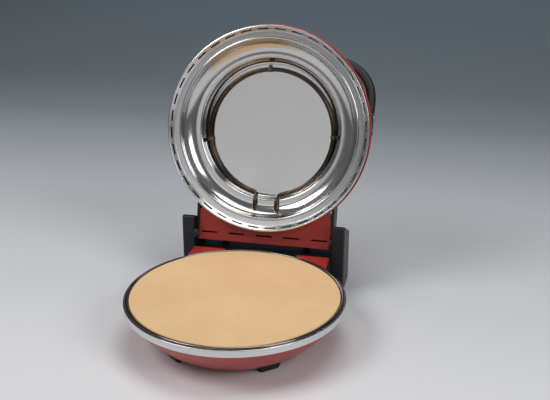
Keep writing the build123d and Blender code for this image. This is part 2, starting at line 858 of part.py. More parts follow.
cheek_face = hood_half_width + cheek_thickness
cheek_screw_depth = screw_head_height + screw_head_gap

for side, name in ((-1, "hinge_cheek_left"), (1, "hinge_cheek_right")):
    with BuildPart() as hinge_cheek:
        with BuildSketch(side_plane(side * hood_half_width)):
            closed_form(
                [
                    (cheek_front, hood_floor_rise - cheek_margin),
                    (hood_back + cheek_margin, hood_floor_rise - cheek_margin),
                    (hood_back + hood_back_lean + cheek_margin, hood_back_top + cheek_margin),
                    (cheek_front, cheek_front_top + cheek_margin),
                ]
            )
            with Locations((hinge_y, hinge_height)):
                Circle(hinge_lobe_radius)
            with Locations((hinge_y, hinge_height)):
                Rectangle(2 * hinge_lobe_radius, hinge_lobe_radius, align=(middle, low))
        extrude(amount=side * cheek_thickness)
        back_corners = hinge_cheek.edges().filter_by(Axis.X).group_by(Axis.Y)[-1]
        fillet(back_corners, radius=hood_round)
        add(dome_form.part, mode=Mode.SUBTRACT)
        with Locations(Plane(origin=(side * hood_half_width, hinge_y, hinge_height), z_dir=(side, 0, 0))):
            Cylinder(
                pin_head_radius + fit_gap,
                pin_head_height,
                align=(middle, middle, low),
                mode=Mode.SUBTRACT,
            )
            Cylinder(pin_radius, cheek_thickness, align=(middle, middle, low), mode=Mode.SUBTRACT)
        cheek_screw_planes = [
            Plane(origin=(side * (cheek_face - cheek_screw_depth), y, rise), z_dir=(side, 0, 0))
            for y, rise in cheek_screw_spots
        ]
        with Locations(*cheek_screw_planes):
            Cylinder(
                screw_head_radius + screw_head_gap,
                cheek_thickness,
                align=(middle, middle, low),
                mode=Mode.SUBTRACT,
            )
        drill_screws(cheek_screw_planes)
    save_lid(hinge_cheek, name)

with BuildPart() as cheek_screws:
    for side in (-1, 1):
        add_screws(
            [
                Plane(origin=(side * (cheek_face - cheek_screw_depth), y, rise), z_dir=(side, 0, 0))
                for y, rise in cheek_screw_spots
            ]
        )
save_lid(cheek_screws, "cheek_screws")

with BuildPart() as hinge_pins:
    for side in (-1, 1):
        with Locations(Plane(origin=(side * hood_half_width, hinge_y, hinge_height), z_dir=(side, 0, 0))):
            Cylinder(pin_head_radius, pin_head_height, align=(middle, middle, low))
            Cylinder(
                pin_radius,
                cheek_thickness + moving_gap + pin_reach,
                align=(middle, middle, low),
            )
save_lid(hinge_pins, "hinge_pins")

# The handle: a bail that rises towards the front, on a pad at either side.
handle_slope = Vector(0, handle_front_y - handle_side_y, handle_front_rise - handle_side_rise)
handle_plane = Plane(
    origin=(0, handle_side_y, handle_side_rise),
    x_dir=(1, 0, 0),
    z_dir=Vector(1, 0, 0).cross(handle_slope),
)
handle_screw_planes = [
    Plane(
        origin=(side * (handle_half_width + handle_thickness / 2), handle_side_y + offset_y, handle_foot_rise),
        z_dir=(side, 0, 0),
    )
    for side in (-1, 1)
    for offset_y in (-handle_screw_spacing / 2, handle_screw_spacing / 2)
]

with BuildPart() as handle:
    with BuildLine(handle_plane):
        handle_path = FilletPolyline(
            (-handle_half_width, 0),
            (-handle_half_width, handle_slope.length),
            (handle_half_width, handle_slope.length),
            (handle_half_width, 0),
            radius=handle_corner,
        )
    with BuildSketch(Plane(origin=handle_path @ 0, x_dir=(1, 0, 0), z_dir=handle_path % 0)):
        RectangleRounded(handle_thickness, handle_depth, handle_round)
    sweep(path=handle_path)
    for side in (-1, 1):
        with BuildSketch(side_plane(side * (handle_half_width + handle_thickness / 2))):
            with Locations((handle_side_y, handle_foot_rise)):
                RectangleRounded(handle_foot_length, handle_foot_height, handle_foot_round)
        extrude(amount=-side * handle_foot_reach)
    add(dome_form.part, mode=Mode.SUBTRACT)
    drill_screws(handle_screw_planes)
save_lid(handle, "handle")

with BuildPart() as handle_screws:
    add_screws(handle_screw_planes)
save_lid(handle_screws, "handle_screws")

# The control on the crown: a bezel with the knob and two lamps.
lamp_spots = [spoke(lamp_reach, 270 + side * lamp_spread, bezel_top) for side in (-1, 1)]

with BuildPart() as control_bezel:
    with BuildSketch(Plane.XY.offset(dome_height - dome_crown_drop)):
        Circle(bezel_radius)
    extrude(amount=bezel_top - dome_height + dome_crown_drop)
    fillet(control_bezel.edges().group_by(Axis.Z)[-1], radius=bezel_round)
    add(dome_form.part, mode=Mode.SUBTRACT)
    with Locations((0, 0, bezel_top)):
        Cylinder(shaft_radius + shaft_gap, bezel_rise * 4, mode=Mode.SUBTRACT)
    with Locations(*lamp_spots):
        Cylinder(lamp_radius, lamp_depth * 2, mode=Mode.SUBTRACT)
save_lid(control_bezel, "control_bezel")

for spot, name in zip(lamp_spots, ("pilot_lamp_power", "pilot_lamp_heat")):
    with BuildPart() as pilot_lamp:
        with Locations(spot):
            Cylinder(lamp_radius, lamp_depth, align=(middle, middle, high))
            Cylinder(lamp_radius, lamp_rise, align=(middle, middle, low))
        fillet(pilot_lamp.edges().group_by(Axis.Z)[-1], radius=lamp_rise * 0.9)
    save_lid(pilot_lamp, name)

dome_inside = dome_height - dome_sheet
with BuildPart() as thermostat:
    with Locations((0, 0, dome_inside)):
        Cylinder(thermostat_radius, thermostat_height, align=(middle, middle, high))
        fillet(thermostat.edges().group_by(Axis.Z)[0], radius=thermostat_round)
        Box(
            thermostat_tab_length,
            thermostat_tab_width,
            thermostat_tab_sheet,
            align=(middle, middle, high),
        )
        Cylinder(
            shaft_radius + shaft_clearance,
            shaft_socket + shaft_gap,
            align=(middle, middle, high),
            mode=Mode.SUBTRACT,
        )
    add(lid_dome.part, mode=Mode.SUBTRACT)
save_lid(thermostat, "thermostat")

with BuildPart() as thermostat_shaft:
    with Locations((0, 0, dome_inside - shaft_socket)):
        Cylinder(
            shaft_radius,
            knob_bottom + shaft_grip - dome_inside + shaft_socket,
            align=(middle, middle, low),
        )
save_lid(thermostat_shaft, "thermostat_shaft")

# The knob: a skirt with a pointed grip bar across it.
with BuildPart() as thermostat_knob:
    with Locations((0, 0, knob_bottom)):
        Cylinder(knob_radius, knob_skirt_height, align=(middle, middle, low))
        fillet(thermostat_knob.edges().group_by(Axis.Z)[-1], radius=knob_round)
    with BuildSketch(Plane.XY.offset(knob_bottom)):
        SlotOverall(2 * knob_radius - knob_grip_inset, knob_grip_width, rotation=90)
    extrude(amount=knob_height, taper=knob_grip_taper)
    fillet(thermostat_knob.edges().group_by(Axis.Z)[-1], radius=knob_round)
    with Locations((0, 0, knob_bottom)):
        Cylinder(shaft_radius, shaft_grip, align=(middle, middle, low), mode=Mode.SUBTRACT)
save_lid(thermostat_knob, "thermostat_knob")
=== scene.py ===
import bpy
import json
import math
from mathutils import Matrix, Vector


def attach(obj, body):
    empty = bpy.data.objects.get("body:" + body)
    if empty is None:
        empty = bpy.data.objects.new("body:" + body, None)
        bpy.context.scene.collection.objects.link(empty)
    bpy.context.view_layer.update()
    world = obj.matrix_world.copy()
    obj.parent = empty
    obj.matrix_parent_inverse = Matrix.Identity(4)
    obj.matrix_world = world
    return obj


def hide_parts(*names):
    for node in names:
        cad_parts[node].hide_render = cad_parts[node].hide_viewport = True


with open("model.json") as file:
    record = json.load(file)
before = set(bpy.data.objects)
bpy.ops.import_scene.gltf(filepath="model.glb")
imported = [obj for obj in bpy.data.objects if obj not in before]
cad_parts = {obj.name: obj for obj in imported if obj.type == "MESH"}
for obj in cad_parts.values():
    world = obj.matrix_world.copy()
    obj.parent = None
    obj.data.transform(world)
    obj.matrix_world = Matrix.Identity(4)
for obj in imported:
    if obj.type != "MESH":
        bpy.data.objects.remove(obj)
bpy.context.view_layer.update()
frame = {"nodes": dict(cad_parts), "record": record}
nodes = frame["nodes"]
MM = 0.001

# ---------------------------------------------------------------- sizes (mm)
HINGE_Y, HINGE_Z = 192.0, 15.0
RIM_DROP, OPEN_ANGLE = 3.0, 104.0
hinge = Vector((0, HINGE_Y, HINGE_Z)) * MM
# Lid pieces are made as they lie when the lid is closed, heights from its rim.
LID = (
    Matrix.Translation(hinge)
    @ Matrix.Rotation(math.radians(-OPEN_ANGLE), 4, "X")
    @ Matrix.Translation(-hinge)
    @ Matrix.Translation((0, 0, -RIM_DROP * MM))
)
BASE = Matrix.Identity(4)


# ---------------------------------------------------------------- mesh helpers
def link(name, mesh, matrix, body, material, replaced):
    obj = bpy.data.objects.new(name, mesh)
    bpy.context.scene.collection.objects.link(obj)
    obj.matrix_world = matrix
    mesh.materials.append(material)
    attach(obj, body)
    if replaced:
        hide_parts(*replaced)
    return obj


def shade(mesh, angle=32.0):
    """Smooth faces with hard edges where they turn sharply."""
    mesh.update()
    for face in mesh.polygons:
        face.use_smooth = True
    mesh.set_sharp_from_angle(angle=math.radians(angle))


def rounded(points, radius, steps=6, closed=False):
    """Polyline with its corners rounded; a corner's radius may be a list."""
    out = []
    count = len(points)
    radii = radius if isinstance(radius, (list, tuple)) else [radius] * count
    for i, point in enumerate(points):
        here = Vector(point)
        if not closed and i in (0, count - 1) or radii[i] <= 0:
            out.append(here)
            continue
        before = Vector(points[i - 1]) - here
        after = Vector(points[(i + 1) % count]) - here
        turn = math.pi - before.angle(after)
        if turn < 0.02:
            out.append(here)
            continue
        reach = min(radii[i] * math.tan(turn / 2), before.length * 0.49, after.length * 0.49)
        bend = reach / math.tan(turn / 2)
        start = here + before.normalized() * reach
        end = here + after.normalized() * reach
        middle = here + (before.normalized() + after.normalized()).normalized() * (
            bend / math.cos(turn / 2)
        )
        a, b = start - middle, end - middle
        spread = a.angle(b)
        for k in range(steps + 1):
            t = k / steps
            near = math.sin((1 - t) * spread) / math.sin(spread)
            far = math.sin(t * spread) / math.sin(spread)
            out.append(middle + a * near + b * far)
    return out


def sheet(path, thickness):
    """Closed section of a sheet that lies left of the path."""
    left = []
    for i, point in enumerate(path):
        ahead = path[min(i + 1, len(path) - 1)] - path[max(i - 1, 0)]
        if 0 < i < len(path) - 1:
            d1 = (path[i] - path[i - 1]).normalized()
            d2 = (path[i + 1] - path[i]).normalized()
            n = (Vector((-d1.y, d1.x)) + Vector((-d2.y, d2.x))).normalized()
            scale = 1 / max(0.35, n.dot(Vector((-d1.y, d1.x))))
        else:
            d = ahead.normalized()
            n, scale = Vector((-d.y, d.x)), 1.0
        left.append(point + n * thickness * scale)
    return list(path) + left[::-1]


def arc(centre, radius, start, end, steps):
    return [
        Vector(
            (
                centre[0] + radius * math.cos(math.radians(start + (end - start) * k / steps)),
                centre[1] + radius * math.sin(math.radians(start + (end - start) * k / steps)),
            )
        )
        for k in range(steps + 1)
    ]


def lathe_mesh(name, section, segments=288):
    """Turn a closed section of (radius, height) in mm about Z."""
    verts, faces, rings = [], [], []
    for point in section:
        radius, height = point[0] * MM, point[1] * MM
        if radius < 1e-6:
            verts.append((0, 0, height))
            rings.append([len(verts) - 1])
            continue
        ring = []
        for k in range(segments):
            a = 2 * math.pi * k / segments
            verts.append((radius * math.cos(a), radius * math.sin(a), height))
            ring.append(len(verts) - 1)
        rings.append(ring)
    for i in range(len(rings)):
        a, b = rings[i], rings[(i + 1) % len(rings)]
        if len(a) == 1 and len(b) == 1:
            continue
        for k in range(segments):
            n = (k + 1) % segments
            if len(a) == 1:
                faces.append((a[0], b[n], b[k]))
            elif len(b) == 1:
                faces.append((a[k], a[n], b[0]))
            else:
                faces.append((a[k], a[n], b[n], b[k]))
    mesh = bpy.data.meshes.new(name)
    mesh.from_pydata(verts, [], faces)
    mesh.validate()
    return mesh


def lathe(name, section, matrix, body, material, replaced=(), segments=288, angle=32.0):
    mesh = lathe_mesh(name, section, segments)
    shade(mesh, angle)
    return link(name, mesh, matrix, body, material, replaced)


def tube(name, path, radius, matrix, body, material, replaced=(), sides=32):
    """Round bar through dense points in mm."""
    points = [Vector(p) * MM for p in path]
    verts, faces = [], []
    up = Vector((0, 0, 1))
    for i, point in enumerate(points):
        ahead = (points[min(i + 1, len(points) - 1)] - points[max(i - 1, 0)]).normalized()
        side = up.cross(ahead)
        if side.length < 1e-3:
            side = Vector((1, 0, 0)).cross(ahead)
        side.normalize()
        up = ahead.cross(side).normalized()
        for k in range(sides):
            a = 2 * math.pi * k / sides
            verts.append(point + (side * math.cos(a) + up * math.sin(a)) * radius * MM)
    for i in range(len(points) - 1):
        for k in range(sides):
            n = (k + 1) % sides
            a, b = i * sides, (i + 1) * sides
            faces.append((a + k, a + n, b + n, b + k))
    last = (len(points) - 1) * sides
    faces.append(tuple(range(sides))[::-1])
    faces.append(tuple(range(last, last + sides)))
    mesh = bpy.data.meshes.new(name)
    mesh.from_pydata(verts, [], faces)
    shade(mesh, 40)
    return link(name, mesh, matrix, body, material, replaced)


# ------------------------------------------------------------------ materials
class Nodes:
    """Short calls for building a material."""

    def __init__(self, name):
        self.mat = bpy.data.materials.new(name)
        self.mat.use_nodes = True
        self.tree = self.mat.node_tree
        self.tree.nodes.clear()
        self.out = self.add("ShaderNodeOutputMaterial")
        self.bsdf = self.add("ShaderNodeBsdfPrincipled")
        self.wire(self.bsdf, "BSDF", self.out, "Surface")

    def add(self, kind, **values):
        node = self.tree.nodes.new(kind)
        for key, value in values.items():
            setattr(node, key, value)
        return node

    def wire(self, a, out, b, into):
        self.tree.links.new(a.outputs[out], b.inputs[into])

    def set(self, **values):
        for key, value in values.items():
            self.bsdf.inputs[key.replace("_", " ")].default_value = value

    def noise(self, scale, detail=2.0, rough=0.5, stretch=None):
        texture = self.add("ShaderNodeTexNoise")
        texture.inputs["Scale"].default_value = scale
        texture.inputs["Detail"].default_value = detail
        texture.inputs["Roughness"].default_value = rough
        place = self.add("ShaderNodeTexCoord")
        if stretch:
            mapping = self.add("ShaderNodeMapping")
            mapping.inputs["Scale"].default_value = stretch
            self.wire(place, "Object", mapping, "Vector")
            self.wire(mapping, "Vector", texture, "Vector")
        else:
            self.wire(place, "Object", texture, "Vector")
        return texture

    def ramp(self, source, out, stops):
        ramp = self.add("ShaderNodeValToRGB")
        self.wire(source, out, ramp, "Fac")
        items = ramp.color_ramp.elements
        while len(items) > len(stops):
            items.remove(items[-1])
        while len(items) < len(stops):
            items.new(0.5)
        for item, (position, colour) in zip(items, stops):
            item.position = position
            if isinstance(colour, (int, float)):
                colour = (colour, colour, colour)
            item.color = (*colour, 1)
        return ramp

    def radius(self):
        """Distance from the object's own Z axis."""
        place = self.add("ShaderNodeTexCoord")
        split = self.add("ShaderNodeSeparateXYZ")
        self.wire(place, "Object", split, "Vector")
        flat = self.add("ShaderNodeCombineXYZ")
        self.wire(split, "X", flat, "X")
        self.wire(split, "Y", flat, "Y")
        length = self.add("ShaderNodeVectorMath", operation="LENGTH")
        self.wire(flat, "Vector", length, 0)
        return length, split

    def rings(self, scale, detail=3.0):
        """Fine concentric lines, as a spinning wheel leaves them."""
        length, split = self.radius()
        total = self.add("ShaderNodeMath", operation="ADD")
        self.wire(length, "Value", total, 0)
        self.wire(split, "Z", total, 1)
        texture = self.add("ShaderNodeTexNoise", noise_dimensions="1D")
        texture.inputs["Scale"].default_value = scale
        texture.inputs["Detail"].default_value = detail
        self.wire(total, "Value", texture, "W")
        return texture

    def bump(self, source, out, strength, distance, under=None):
        bump = self.add("ShaderNodeBump")
        bump.inputs["Strength"].default_value = strength
        bump.inputs["Distance"].default_value = distance
        self.wire(source, out, bump, "Height")
        if under:
            self.wire(under, "Normal", bump, "Normal")
        self.wire(bump, "Normal", self.bsdf, "Normal")
        return bump

    def soft_edges(self, radius):
        bevel = self.add("ShaderNodeBevel", samples=4)
        bevel.inputs["Radius"].default_value = radius
        return bevel


def turned_steel(name, colour, dark, rough):
    m = Nodes(name)
    m.set(Metallic=1.0)
    lines = m.rings(900.0)
    tone = m.ramp(lines, "Fac", [(0.3, dark), (0.7, colour)])
    m.wire(tone, "Color", m.bsdf, "Base Color")
    cloud = m.noise(14.0, 4.0, 0.6)
    roughness = m.ramp(cloud, "Fac", [(0.25, rough), (0.8, rough + 0.06)])
    m.wire(roughness, "Color", m.bsdf, "Roughness")
    m.bump(lines, "Fac", 0.15, 0.000002)
    return m.mat


def paint(name, colour, shadow):
    m = Nodes(name)
    m.set(Coat_Weight=0.35, Coat_Roughness=0.16, Coat_IOR=1.45)
    cloud = m.noise(9.0, 3.0)
    tone = m.ramp(cloud, "Fac", [(0.3, shadow), (0.7, colour)])
    m.wire(tone, "Color", m.bsdf, "Base Color")
    wipe = m.noise(60.0, 5.0, 0.65)
    rough = m.ramp(wipe, "Fac", [(0.3, 0.32), (0.75, 0.42)])
    m.wire(rough, "Color", m.bsdf, "Roughness")
    edges = m.soft_edges(0.0008)
    peel = m.noise(950.0, 2.0)
    m.bump(peel, "Fac", 0.12, 0.00004, edges)
    return m.mat


def plastic(name, colour, light, rough, grain=1500.0):
    m = Nodes(name)
    m.set(Specular_IOR_Level=0.38)
    cloud = m.noise(24.0, 4.0, 0.6)
    tone = m.ramp(cloud, "Fac", [(0.3, colour), (0.75, light)])
    m.wire(tone, "Color", m.bsdf, "Base Color")
    wipe = m.noise(90.0, 4.0)
    ramp = m.ramp(wipe, "Fac", [(0.3, rough), (0.75, rough + 0.1)])
    m.wire(ramp, "Color", m.bsdf, "Roughness")
    edges = m.soft_edges(0.0009)
    spark = m.noise(grain, 2.0)
    m.bump(spark, "Fac", 0.22, 0.00006, edges)
    return m.mat


def stone_material():
    """Fired clay: warm clouds, sandy specks and open pores."""
    m = Nodes("baking_stone")
    m.set(Specular_IOR_Level=0.3)
    cloud = m.noise(7.0, 5.0, 0.6)
    tone = m.ramp(cloud, "Fac", [(0.25, (0.78, 0.50, 0.25)), (0.8, (0.90, 0.63, 0.35))])
    grit = m.noise(520.0, 3.0, 0.7)
    dark, plain, pale = (0.62, 0.42, 0.25), (1, 1, 1), (1.12, 1.10, 1.05)
    sand = [(0.30, dark), (0.46, plain), (0.62, plain), (0.78, pale)]
    specks = m.ramp(grit, "Fac", sand)
    mix = m.add("ShaderNodeMix", data_type="RGBA", blend_type="MULTIPLY")
    mix.inputs["Factor"].default_value = 0.55
    m.tree.links.new(tone.outputs["Color"], mix.inputs[6])
    m.tree.links.new(specks.outputs["Color"], mix.inputs[7])
    m.tree.links.new(mix.outputs[2], m.bsdf.inputs["Base Color"])
    rough = m.ramp(grit, "Fac", [(0.2, 0.72), (0.8, 0.92)])
    m.wire(rough, "Color", m.bsdf, "Roughness")
    pores = m.noise(1400.0, 3.0, 0.7)
    first = m.bump(grit, "Fac", 0.35, 0.00025)
    m.bump(pores, "Fac", 0.3, 0.0001, first)
    return m.mat


def heater_material():
    """Oxidised sheath: dark, with straw and brown heat tints."""
    m = Nodes("heater_tube")
    m.set(Metallic=1.0)
    cloud = m.noise(38.0, 4.0, 0.6)
    tints = [(0.3, (0.05, 0.04, 0.033)), (0.6, (0.10, 0.07, 0.05)), (0.8, (0.26, 0.17, 0.10))]
    tone = m.ramp(cloud, "Fac", tints)
    m.wire(tone, "Color", m.bsdf, "Base Color")
    fine = m.noise(700.0, 2.0)
    rough = m.ramp(fine, "Fac", [(0.3, 0.16), (0.7, 0.24)])
    m.wire(rough, "Color", m.bsdf, "Roughness")
    m.bump(fine, "Fac", 0.1, 0.00003)
    return m.mat


def plain_grain(name, colour, light, rough, scale, depth, metallic=0.0):
    m = Nodes(name)
    m.set(Metallic=metallic)
    grain = m.noise(scale, 4.0, 0.65)
    tone = m.ramp(grain, "Fac", [(0.3, colour), (0.7, light)])
    m.wire(tone, "Color", m.bsdf, "Base Color")
    ramp = m.ramp(grain, "Fac", [(0.3, rough), (0.7, min(1.0, rough + 0.12))])
    m.wire(ramp, "Color", m.bsdf, "Roughness")
    m.bump(grain, "Fac", 0.3, depth)
    return m.mat


def lens(name, colour):
    m = Nodes(name)
    m.set(Roughness=0.08, Coat_Weight=0.6)
    grain = m.noise(1800.0, 2.0)
    tone = m.ramp(grain, "Fac", [(0.3, tuple(c * 0.7 for c in colour)), (0.7, colour)])
    m.wire(tone, "Color", m.bsdf, "Base Color")
    m.bump(grain, "Fac", 0.1, 0.00005)
    return m.mat


MAT = {
    "stone": stone_material(),
    "mirror": turned_steel("bright_steel", (0.66, 0.65, 0.64), (0.61, 0.60, 0.59), 0.13),
    # The tray's steel is coloured dark brown as a painted reflection of dark surroundings, not as
    # the steel's own colour.
    "tray": turned_steel("tray_steel_painted_dark_reflection", (0.24, 0.20, 0.18), (0.18, 0.15, 0.135), 0.12),
    "satin": turned_steel("satin_steel", (0.72, 0.72, 0.72), (0.66, 0.66, 0.66), 0.22),
    "red": paint("red_enamel", (0.44, 0.036, 0.026), (0.38, 0.030, 0.022)),
    "black": plastic("black_moulding", (0.009, 0.010, 0.012), (0.015, 0.016, 0.018), 0.36),
    "rubber": plastic(
        "black_rubber", (0.012, 0.012, 0.012), (0.026, 0.026, 0.026), 0.66, 900.0
    ),
    "heater": heater_material(),
    "clip": plain_grain(
        "tinted_clip", (0.10, 0.085, 0.07), (0.20, 0.16, 0.12), 0.3, 700.0, 0.00003, 1.0
    ),
    "ceramic": plain_grain(
        "steatite", (0.74, 0.72, 0.67), (0.86, 0.85, 0.81), 0.5, 420.0, 0.00005
    ),
    "fibre": plain_grain(
        "fibre_board", (0.66, 0.64, 0.58), (0.82, 0.80, 0.75), 0.85, 600.0, 0.0003
    ),
    "screw": plain_grain(
        "zinc_steel", (0.42, 0.42, 0.41), (0.60, 0.60, 0.59), 0.3, 900.0, 0.00002, 1.0
    ),
    "pale": plain_grain(
        "terminal_plastic", (0.70, 0.68, 0.60), (0.80, 0.78, 0.71), 0.45, 800.0, 0.00004
    ),
    "ink": plain_grain("dial_ink", (0.62, 0.62, 0.60), (0.74, 0.74, 0.72), 0.5, 900.0, 0.00001),
    # Near-black colour for screw recesses: painted shade of the hollows.
    "recess_shade": plain_grain(
        "screw_recess_painted_shade", (0.02, 0.02, 0.02), (0.05, 0.05, 0.05), 0.5, 900.0, 0.00001
    ),
    "red_lens": lens("red_lens", (0.50, 0.03, 0.02)),
    "green_lens": lens("green_lens", (0.04, 0.34, 0.09)),
}
SLOT_MAT = {
    "stone": "stone", "bright_steel": "mirror", "satin_steel": "satin", "red_paint": "red",
    "heater_tube": "heater", "white_ceramic": "ceramic", "white_fibre": "fibre",
    "black_rubber": "rubber", "black_plastic": "black", "screw_steel": "screw",
    "pale_plastic": "pale", "red_lens": "red_lens", "green_lens": "green_lens",
}
NODE_MAT = {"upper_heater_clips": "clip", "lower_heater_clips": "clip", "base_tray": "tray"}
for part in frame["record"]["subparts"]:
    mesh = nodes[part["node"]].data
    mesh.materials.clear()
    mesh.materials.append(MAT[NODE_MAT.get(part["node"], SLOT_MAT[part["material_slot"]])])


# ------------------------------------------------------------- spun round parts
def merged(name, meshes):
    """One mesh from several."""
    verts, faces = [], []
    for mesh in meshes:
        first = len(verts)
        verts += [vertex.co.copy() for vertex in mesh.vertices]
        faces += [tuple(first + index for index in face.vertices) for face in mesh.polygons]
    whole = bpy.data.meshes.new(name)
    whole.from_pydata(verts, [], faces)
    return whole


def sector_mesh(name, section, start, end, steps):
    """Part of a turn of a closed section, with both ends closed; angles in degrees."""
    verts, faces = [], []
    count = len(section)
    for k in range(steps + 1):
        a = math.radians(start + (end - start) * k / steps)
        for radius, height in section:
            verts.append((radius * MM * math.cos(a), radius * MM * math.sin(a), height * MM))
    for k in range(steps):
        for i in range(count):
            n = (i + 1) % count
            low, high = k * count, (k + 1) * count
            faces.append((low + i, high + i, high + n, low + n))
    faces.append(tuple(range(count)))
    faces.append(tuple(range(steps * count, (steps + 1) * count))[::-1])
    mesh = bpy.data.meshes.new(name)
    mesh.from_pydata(verts, [], faces)
    return mesh


def bulged(start, end, rise, steps):
    """Arc from start to end that stands out by rise on the path's left."""
    start, end = Vector(start), Vector(end)
    chord = end - start
    out = Vector((-chord.y, chord.x)).normalized()
    bend = (chord.length ** 2 / 4 + rise ** 2) / (2 * rise)
    middle = (start + end) / 2 + out * (rise - bend)
    a, b = start - middle, end - middle
    spread = a.angle(b)
    points = []
    for k in range(steps + 1):
        near, far = math.sin((1 - k / steps) * spread), math.sin(k / steps * spread)
        points.append(middle + (a * near + b * far) / math.sin(spread))
    return points


def bead(radius, height, wire):
    return arc((radius, height), wire, 0, 354, 36)


# The base: a tray with a rolled bead, the satin band and the painted bowl; the tray's steel colour
# is a painted dark reflection.
TRAY_WALL, BEAD_WIRE, BEAD_Z = 165.8, 2.4, -1.9
BEAD_RADIUS = 169.0
LEDGE_Z, TRAY_Z = -13.0, -43.0
tray_corners = [(TRAY_WALL, BEAD_Z), (TRAY_WALL, LEDGE_Z), (151.8, LEDGE_Z), (141.8, TRAY_Z)]
tray_path = rounded(tray_corners + [(0, TRAY_Z)], 2.0)
tray = merged(
    "tray_spun",
    [
        lathe_mesh("tray_sheet", sheet(tray_path, 0.8)),
        lathe_mesh("tray_bead", bead(BEAD_RADIUS, BEAD_Z, BEAD_WIRE)),
    ],
)
shade(tray)
tray_piece = link("tray_spun", tray, BASE, "base", MAT["tray"], ["base_tray"])

BAND_IN, BAND_OUT, BAND_LOW, BAND_HIGH = 171.9, 174.0, -13.4, -2.4
band_corners = [
    (BAND_IN, BAND_LOW), (BAND_OUT, BAND_LOW), (BAND_OUT, BAND_HIGH), (BAND_IN, BAND_HIGH)
]
band_section = rounded(band_corners, [0.2, 0.9, 0.9, 0.2], 6, True)
band = lathe("trim_band_spun", band_section, BASE, "base", MAT["satin"], ["trim_band"])

BOWL_RIM, BOWL_FLOOR, BOWL_LOW, BOWL_BULGE = 171.8, 119.0, -67.0, 3.0


side_points = bulged((BOWL_RIM, BAND_LOW), (BOWL_FLOOR, BOWL_LOW), BOWL_BULGE, 14)
bowl_path = [Vector((166.8, -4.3)), Vector((BOWL_RIM, -4.3))] + side_points[:-3]
bowl_path += rounded([tuple(side_points[-4]), (BOWL_FLOOR, BOWL_LOW), (0, BOWL_LOW)], 5.0)[1:]
bowl = lathe("bowl_spun", sheet(bowl_path, -1.2), BASE, "base", MAT["red"], ["base_bowl"])

# The rear: a black moulded top on the housing, with two painted corner plates.
DECK_TOP, PLATE_TOP, PLATE_LOW = -5.0, -13.0, -22.0


def corner_outline(side, inner, outer, back, radius, steps=14):
    """Outline between two sides, a straight back and an arc round the bowl."""
    start, end = math.acos(outer / radius), math.acos(inner / radius)
    curve = [start + (end - start) * k / steps for k in range(steps + 1)]
    points = [(side * radius * math.cos(a), radius * math.sin(a)) for a in curve]
    return points + [(side * inner, back), (side * outer, back)]


def slab(outline, low, high):
    """Upright prism of an outline."""
    count = len(outline)
    verts = [(x * MM, y * MM, z * MM) for z in (low, high) for x, y in outline]
    faces = [tuple(range(count))[::-1], tuple(range(count, 2 * count))]
    faces += [(i, (i + 1) % count, count + (i + 1) % count, count + i) for i in range(count)]
    mesh = bpy.data.meshes.new("slab")
    mesh.from_pydata(verts, [], faces)
    return mesh


def soften(obj, width, segments=3):
    """Bevel a piece's edges for good."""
    modifier = obj.modifiers.new("edges", "BEVEL")
    modifier.width = width * MM
    modifier.segments = segments
    modifier.limit_method = "ANGLE"
    modifier.angle_limit = math.radians(35)
    modifier.harden_normals = False
    graph = bpy.context.evaluated_depsgraph_get()
    mesh = bpy.data.meshes.new_from_object(obj.evaluated_get(graph))
    obj.modifiers.clear()
    obj.data = mesh
    shade(mesh)


plate_outline = [tuple(point) for point in arc((0, 0), 177.0, 46, 134, 44)]
plate_outline += [(-124.0, 127.5), (-124.0, 248.0), (124.0, 248.0), (124.0, 127.5)]
plate = slab(plate_outline, PLATE_LOW, PLATE_TOP)
plate_piece = link("housing_top", plate, BASE, "base", MAT["black"], ())
bpy.context.view_layer.update()
soften(plate_piece, 1.5)
cap_outlines = [corner_outline(side, 64.0, 122.0, 178.0, 182.5) for side in (-1, 1)]
caps = merged("corner_plates", [slab(edge, PLATE_TOP, DECK_TOP) for edge in cap_outlines])
caps_piece = link("corner_plates", caps, BASE, "base", MAT["red"], ["rear_deck"])
bpy.context.view_layer.update()
soften(caps_piece, 1.6)

# The lid's ring: skirt, lip, cone with real slots, and a ledge that slopes in.
RING_SHEET, SLOTS, SLOT_LENGTH, SLOT_WIDTH = 0.8, 36, 19.0, 3.2
CONE_OUT, CONE_IN, CONE_HIGH = 175.6, 168.4, 8.5
LEDGE_IN, LEDGE_HIGH = 159.7, 9.9


def on_cone(share):
    """Point on the cone's face, from its outer edge (0) to its inner edge (1)."""
    return (CONE_OUT + (CONE_IN - CONE_OUT) * share, CONE_HIGH * share)


cone_length = math.hypot(CONE_OUT - CONE_IN, CONE_HIGH)
slot_low, slot_high = 0.5 - SLOT_WIDTH / 2 / cone_length, 0.5 + SLOT_WIDTH / 2 / cone_length
skirt_corners = [on_cone(0.2), on_cone(0), (178.0, 0.6), (178.0, 16.0)]
outer_path = [Vector(on_cone(slot_low))] + rounded(skirt_corners, 0.9)
inner_path = rounded([(LEDGE_IN, LEDGE_HIGH), (CONE_IN, CONE_HIGH), on_cone(slot_high)], 1.5)
rib_section = sheet([Vector(on_cone(slot_high)), Vector(on_cone(slot_low))], RING_SHEET)
slot_angle = math.degrees(SLOT_LENGTH / (CONE_OUT + CONE_IN) * 2)
pitch_angle = 360 / SLOTS
ring_meshes = [
    lathe_mesh("ring_outer", sheet(outer_path, RING_SHEET), 360),
    lathe_mesh("ring_inner", sheet(inner_path, RING_SHEET), 360),
]
for slot in range(SLOTS):
    rib_start = pitch_angle * (slot + 0.5) + slot_angle / 2
    rib_end = rib_start + pitch_angle - slot_angle
    ring_meshes.append(sector_mesh("rib", rib_section, rib_start, rib_end, 4))
ring = merged("ring_spun", ring_meshes)
shade(ring, 28)
ring_piece = link("ring_spun", ring, LID, "lid", MAT["satin"], ["lid_ring"])

# The pan: a rolled bead, a rounded shoulder and a well for the heater.
PAN_SHEET, PAN_BEAD, PAN_BEAD_RADIUS, PAN_BEAD_HIGH = 0.8, 2.2, 157.4, 10.0
WELL_RADIUS, WELL_HIGH, PAN_DEPTH, WALL_BULGE = 124.0, 31.0, 50.0, 7.0


